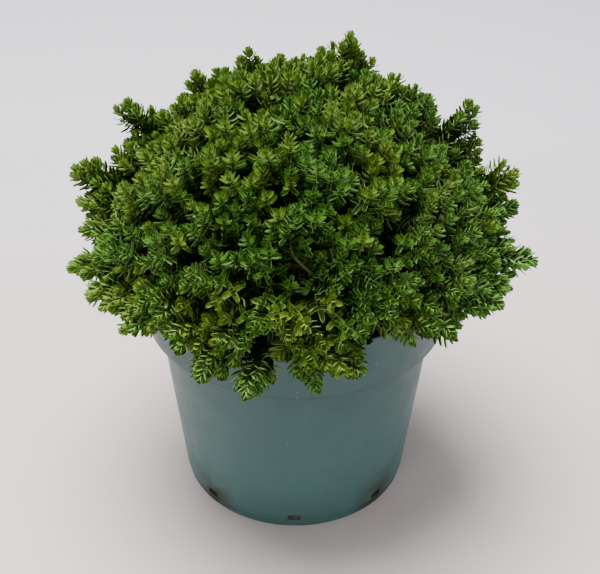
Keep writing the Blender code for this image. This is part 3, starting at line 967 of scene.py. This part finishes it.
        # Painted light as well as tint: brighter patches, paler above, behind and left, darker right and low
        # in front
        patch = SHADE_AND_LIGHT_PATCHES * noise.noise(way * SHADE_SCALE)
        slope = SHADE_AND_LIGHT_SLOPE * (way.z + way.y - way.x)
        return min(max(SHADE_MIDDLE + patch + slope + SHADE_CHANCE * (chance - 0.5), 0), SHADE_END)

    def kind(self, pair, is_inner, is_faded):
        """Leaves of the age that a pair has, one group for each shade."""
        if is_faded and pair == WITHERED_PAIR:
            return self.kinds["withered"]
        if pair < YOUNG_PAIRS and not is_inner:
            return self.kinds["young"]
        return self.kinds["grown" if pair < GROWN_PAIRS else "old"]

    def pair(self, joint, way, side, pair, leaves, growth):
        """Two opposite leaves at a joint, the more folded the nearer they are to the tip."""
        draw = self.draw
        if pair < len(BUD_LENGTHS):
            size = BUD_LENGTHS[pair]
            angle = BUD_ANGLES[pair]
        else:
            size = 1.0
            part = (pair - len(BUD_LENGTHS)) / (LEAF_PAIRS - len(BUD_LENGTHS))
            angle = LEAF_ANGLE + (LEAF_ANGLE_OLD - LEAF_ANGLE) * part
        for sign in (1, -1):
            turned = math.radians(angle + draw.uniform(-ANGLE_JITTER, ANGLE_JITTER))
            along = way * math.cos(turned) + side * (sign * math.sin(turned))
            across = along.cross(way).normalized()
            roll = Matrix.Rotation(math.radians(draw.uniform(-ROLL_JITTER, ROLL_JITTER)), 3, along)
            across.rotate(roll)
            length = growth * LEAF_LENGTH * size * draw.uniform(1 - SIZE_JITTER, 1 + SIZE_JITTER)
            width = growth * LEAF_WIDTH * between(*LEAF_WIDENING, size) * draw.uniform(*WIDTH_JITTER)
            root = joint + side * (sign * SHOOT_TIP_RADIUS)
            leaves.add(root, along, across, length, width)


# Pieces

def lathe(rows, sides, is_open=None):
    """Points of a surface of revolution, row by row, and its triangles, with holes where is_open says so."""
    points = []
    for radius, height in rows:
        for k in range(sides):
            angle = 2 * math.pi * k / sides
            points.append((radius * math.cos(angle), radius * math.sin(angle), height))
    triangles = []
    for i in range(len(rows) - 1):
        for k in range(sides):
            if is_open and is_open(i, k):
                continue
            a = i * sides + k
            b = i * sides + (k + 1) % sides
            triangles.append((a, a + sides, b + sides))
            triangles.append((a, b + sides, b))
    return points, triangles


def round_edge(radius, height, start, end, size):
    """Points of a small round edge about a centre, from one angle to another in degrees."""
    angles = [math.radians(start + (end - start) * i / EDGE_STEPS) for i in range(EDGE_STEPS + 1)]
    return [(radius + size * math.cos(angle), height + size * math.sin(angle)) for angle in angles]


def pot_rows():
    """Half section from the middle of the floor up the inside and down the outside.

    Also gives the numbers of the rows where the drain slots begin, inside and outside. Rows a little
    away from the edges keep the shading of the flat sides even.
    """
    near = 2 * EASE
    far = 3 * EASE
    collar_foot = POT_HEIGHT - COLLAR_HEIGHT
    collar_radius = RIM_RADIUS - COLLAR_TAPER
    body_radius = collar_radius - COLLAR_STEP
    foot_radius = BASE_RADIUS - FOOT_STEP
    inner_base = BASE_RADIUS - WALL
    slot_high = FOOT_HEIGHT + DRAIN_HEIGHT

    def inside(height):
        part = (height - FLOOR) / (collar_foot + WALL - FLOOR)
        return (between(inner_base, body_radius - WALL, part), height)

    def outside(height):
        part = (height - FOOT_HEIGHT) / (collar_foot - FOOT_HEIGHT)
        return (between(BASE_RADIUS, body_radius, part), height)

    rows = [(0, FLOOR), (inner_base - far, FLOOR)]
    rows += round_edge(inner_base - EASE, FLOOR + EASE, -90, 0, EASE)
    inner_slot = len(rows)
    rows += [inside(FOOT_HEIGHT), inside(slot_high), inside(collar_foot), inside(collar_foot + WALL)]
    rows += [(collar_radius - WALL - EASE, collar_foot + WALL)]
    rows += [(collar_radius - WALL, collar_foot + WALL + EASE)]
    rows += round_edge(RIM_RADIUS - WALL / 2, POT_HEIGHT - WALL / 2, 180, 0, WALL / 2)
    rows += [(RIM_RADIUS - near * COLLAR_TAPER / COLLAR_HEIGHT, POT_HEIGHT - WALL / 2 - near)]
    rows += [(collar_radius + far * COLLAR_TAPER / COLLAR_HEIGHT, collar_foot + far)]
    rows += round_edge(collar_radius - EASE, collar_foot + EASE, 0, -90, EASE)
    rows += [(collar_radius - far, collar_foot), (body_radius + far, collar_foot)]
    rows += round_edge(body_radius + EASE, collar_foot - EASE, 90, 180, EASE)
    rows += [outside(collar_foot - far), outside(slot_high + near)]
    outer_slot = len(rows)
    rows += [outside(slot_high), outside(FOOT_HEIGHT)]
    rows += [(foot_radius, FOOT_HEIGHT - FOOT_STEP), (foot_radius, FOOT_HEIGHT - FOOT_STEP - EASE)]
    rows += round_edge(foot_radius - EASE, EASE, 0, -90, EASE)
    rows += [(foot_radius - far, 0), (0, 0)]
    return rows, inner_slot, outer_slot


def make_pot():
    """Pot wall with rounded edges and open drain slots."""
    rows, inner_slot, outer_slot = pot_rows()
    columns = round(DRAIN_WIDTH / BASE_RADIUS * POT_SIDES / (2 * math.pi))
    firsts = [POT_SIDES * i // DRAIN_HOLES - columns // 2 for i in range(DRAIN_HOLES)]
    open_columns = {(first + k) % POT_SIDES for first in firsts for k in range(columns)}
    points, triangles = lathe(
        rows, POT_SIDES, lambda i, k: i in (inner_slot, outer_slot) and k in open_columns)

    def wall(*corners):
        """One side of a slot, with corners of its own so that its edges stay crisp."""
        start = len(points)
        points.extend(points[row * POT_SIDES + column % POT_SIDES] for row, column in corners)
        triangles.extend([(start, start + 1, start + 2), (start, start + 2, start + 3)])

    for first in firsts:
        last = first + columns
        for k in range(first, last):
            wall((inner_slot, k), (inner_slot, k + 1), (outer_slot + 1, k + 1), (outer_slot + 1, k))
            wall((inner_slot + 1, k), (outer_slot, k), (outer_slot, k + 1), (inner_slot + 1, k + 1))
        for k in (first, last):
            wall((inner_slot, k), (outer_slot + 1, k), (outer_slot, k), (inner_slot + 1, k))
    return make_mesh("pot_wall", points, triangles, [pot_finish()])


def make_soil():
    """Peat that fills the pot, uneven on top."""
    collar_radius = RIM_RADIUS - COLLAR_TAPER - WALL - SOIL_GAP
    shelf = POT_HEIGHT - COLLAR_HEIGHT + WALL + SOIL_GAP
    rows = [(collar_radius * i / SOIL_RINGS, SOIL_LEVEL - SOIL_RELIEF) for i in range(SOIL_RINGS + 1)]
    rows += [(collar_radius, shelf), (collar_radius - COLLAR_STEP, shelf)]
    rows += [(BASE_RADIUS - WALL - SOIL_GAP, FLOOR + SOIL_GAP), (0, FLOOR + SOIL_GAP)]
    points, triangles = lathe(rows, SOIL_SIDES)
    for i in range((SOIL_RINGS + 1) * SOIL_SIDES):
        x, y, z = points[i]
        points[i] = (x, y, z + SOIL_RELIEF * noise.fractal(Vector((x, y, 0)) * SOIL_LUMPS, *SOIL_FRACTAL))
    for i in range(DRAIN_HOLES):
        plug_slot(points, triangles, 2 * math.pi * i / DRAIN_HOLES)
    return make_mesh("peat", points, triangles, [soil_finish()])


def plug_slot(points, triangles, middle):
    """Adds crumbly peat that fills a drain slot almost to the pot's outer side."""
    start = len(points)
    half = DRAIN_WIDTH / BASE_RADIUS / 2
    for row in range(PLUG_STEPS + 1):
        height = FOOT_HEIGHT + DRAIN_HEIGHT * row / PLUG_STEPS
        for column in range(PLUG_STEPS + 1):
            angle = middle + half * (2 * column / PLUG_STEPS - 1)
            place = Vector((math.cos(angle) * BASE_RADIUS, math.sin(angle) * BASE_RADIUS, height))
            radius = BASE_RADIUS - PLUG_DEPTH + PLUG_RELIEF * noise.noise(place / MM)
            points.append((math.cos(angle) * radius, math.sin(angle) * radius, height))
    for row in range(PLUG_STEPS):
        for column in range(PLUG_STEPS):
            a = start + row * (PLUG_STEPS + 1) + column
            above = a + PLUG_STEPS + 1
            triangles += [(a, a + 1, above + 1), (a, above + 1, above)]


def make_limbs(ways, finish):
    """Stem and boughs with bark relief."""
    limbs = Tubes(LIMB_SIDES)
    foot = SOIL_LEVEL - FORK_HEIGHT
    shape = [(foot + height, radius) for height, radius in FLARE_SHAPE] + list(KNOB_SHAPE)
    limbs.add([Vector((0, 0, height)) for height, _ in shape], [radius for _, radius in shape])
    for way in ways.values():
        bow = way.cross(Vector((0, 0, 1))).normalized()
        path = []
        for i in range(LIMB_STEPS + 1):
            part = i / LIMB_STEPS
            along = way * (BOUGH_END + BOUGH_OVERLAP) * part
            path.append(along + bow * BOUGH_BEND * math.sin(math.pi * part) ** 2)
        limbs.add(path, taper(BOUGH_ROOT_RADIUS * BOUGH_SWELL, BOUGH_TIP_RADIUS, LIMB_STEPS))
    for i, point in enumerate(limbs.points):
        place = Vector((point.x * BARK_SIDEWAYS, point.y * BARK_SIDEWAYS, point.z * BARK_UPWARD))
        outward = Vector((point.x, point.y, 0)).normalized()
        limbs.points[i] = point + outward * noise.noise(place) * BARK_RELIEF
    return limbs.build("stem_and_boughs", finish)


def make_stage():
    """Round pale floor that curves up to a low pale backdrop on all sides."""
    rows = [(STAGE_FLAT * part, 0) for part in (0, 0.5)]
    for i in range(STAGE_STEPS + 1):
        angle = math.pi / 2 * i / STAGE_STEPS
        rows.append((STAGE_FLAT + STAGE_BEND * math.sin(angle), STAGE_BEND * (1 - math.cos(angle))))
    rows.append((STAGE_FLAT + STAGE_BEND, STAGE_HEIGHT))
    points, triangles = lathe(rows, STAGE_SIDES)
    make_mesh("floor", points, triangles, [stage_finish()])


def area_light(name, place, target, size, power, colour):
    data = bpy.data.lights.new(name, "AREA")
    data.shape = "DISK"
    data.size = size
    data.energy = power
    data.color = colour
    made = bpy.data.objects.new(name, data)
    made.location = place
    made.rotation_euler = (Vector(target) - Vector(place)).to_track_quat("-Z", "Y").to_euler()
    bpy.context.scene.collection.objects.link(made)


def make_light():
    """Soft light from above, a little from in front and from the right, and a pale world."""
    world = bpy.data.worlds.new("studio")
    world.use_nodes = True
    back = world.node_tree.nodes["Background"]
    back.inputs["Color"].default_value = (*WORLD_COLOUR, 1)
    back.inputs["Strength"].default_value = WORLD_STRENGTH
    bpy.context.scene.world = world
    for light in LIGHTS:
        area_light(*light)


def make_camera():
    """The view that was fitted to the photograph's pot."""
    forward = Vector((
        math.sin(CAMERA_YAW) * math.cos(CAMERA_PITCH),
        math.cos(CAMERA_YAW) * math.cos(CAMERA_PITCH),
        -math.sin(CAMERA_PITCH),
    ))
    level = Vector((math.cos(CAMERA_YAW), -math.sin(CAMERA_YAW), 0))
    up = level.cross(forward)
    right = level * math.cos(CAMERA_ROLL) + up * math.sin(CAMERA_ROLL)
    up = up * math.cos(CAMERA_ROLL) - level * math.sin(CAMERA_ROLL)
    data = bpy.data.cameras.new("camera")
    data.lens = CAMERA_LENS
    data.sensor_width = CAMERA_SENSOR
    data.clip_start = CAMERA_CLIP
    made = bpy.data.objects.new("camera", data)
    turn = Matrix((right, up, -forward)).transposed().to_4x4()
    made.matrix_world = Matrix.Translation(CAMERA_PLACE) @ turn
    bpy.context.scene.collection.objects.link(made)
    bpy.context.scene.camera = made


def grow_crown(ways):
    """The whole crown, with each tip grown from the bough that it is nearest to."""
    crown = Crown()
    shares = {key: [] for key in ways}
    for way, extra, is_long in crown_tips(random.Random(SEED)):
        tip = way * (crown_reach(way) - TIP_STANDOFF + extra)
        nearest = max(ways, key=lambda key: tip.dot(ways[key]))
        shares[nearest].append({"tip": tip, "way": way, "extra": extra, "long": is_long})
    for key, way in ways.items():
        stem_end = way * (STEM_END * crown_reach(way))
        crown.twigs.add([way * BOUGH_END, stem_end], [BOUGH_TIP_RADIUS, TWIG_RADIUS])
        crown.grow(stem_end, TWIG_RADIUS, shares[key])
    crown.fill()
    crown.bare_stem()
    return crown


def build():
    """Makes every piece of the plant with its finishes, hides the CAD parts that they replace, and attaches
    the pieces to the root body.
    """
    ways = mass_directions()
    crown = grow_crown(ways)
    bark = bark_finish("bark", *BARK_COLOURS)
    green_stem = bark_finish("green_stem", *GREEN_STEM_COLOURS)
    margins = margin_finishes()
    finishes = leaf_finishes()
    foliage = ["foliage_" + key for key in ways]
    pieces = []
    for kind, groups in crown.kinds.items():
        for i, group in enumerate(groups):
            edges = margins[kind] if kind in margins else finishes[kind]
            piece = group.build(f"leaves_{kind}_{i + 1}", [finishes[kind][i], edges[i]])
            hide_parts(*foliage)
            pieces.append(piece)
    for piece in (crown.twigs.build("twigs", bark), crown.shoots.build("shoots", green_stem)):
        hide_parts(*foliage)
        pieces.append(piece)
    limbs = make_limbs(ways, bark)
    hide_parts("stem", *["bough_" + key for key in ways])
    soil = make_soil()
    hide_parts("soil")
    pot = make_pot()
    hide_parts("pot")
    for piece in (*pieces, limbs, soil, pot):
        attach(piece, "root")


build()
make_stage()
make_light()
make_camera()
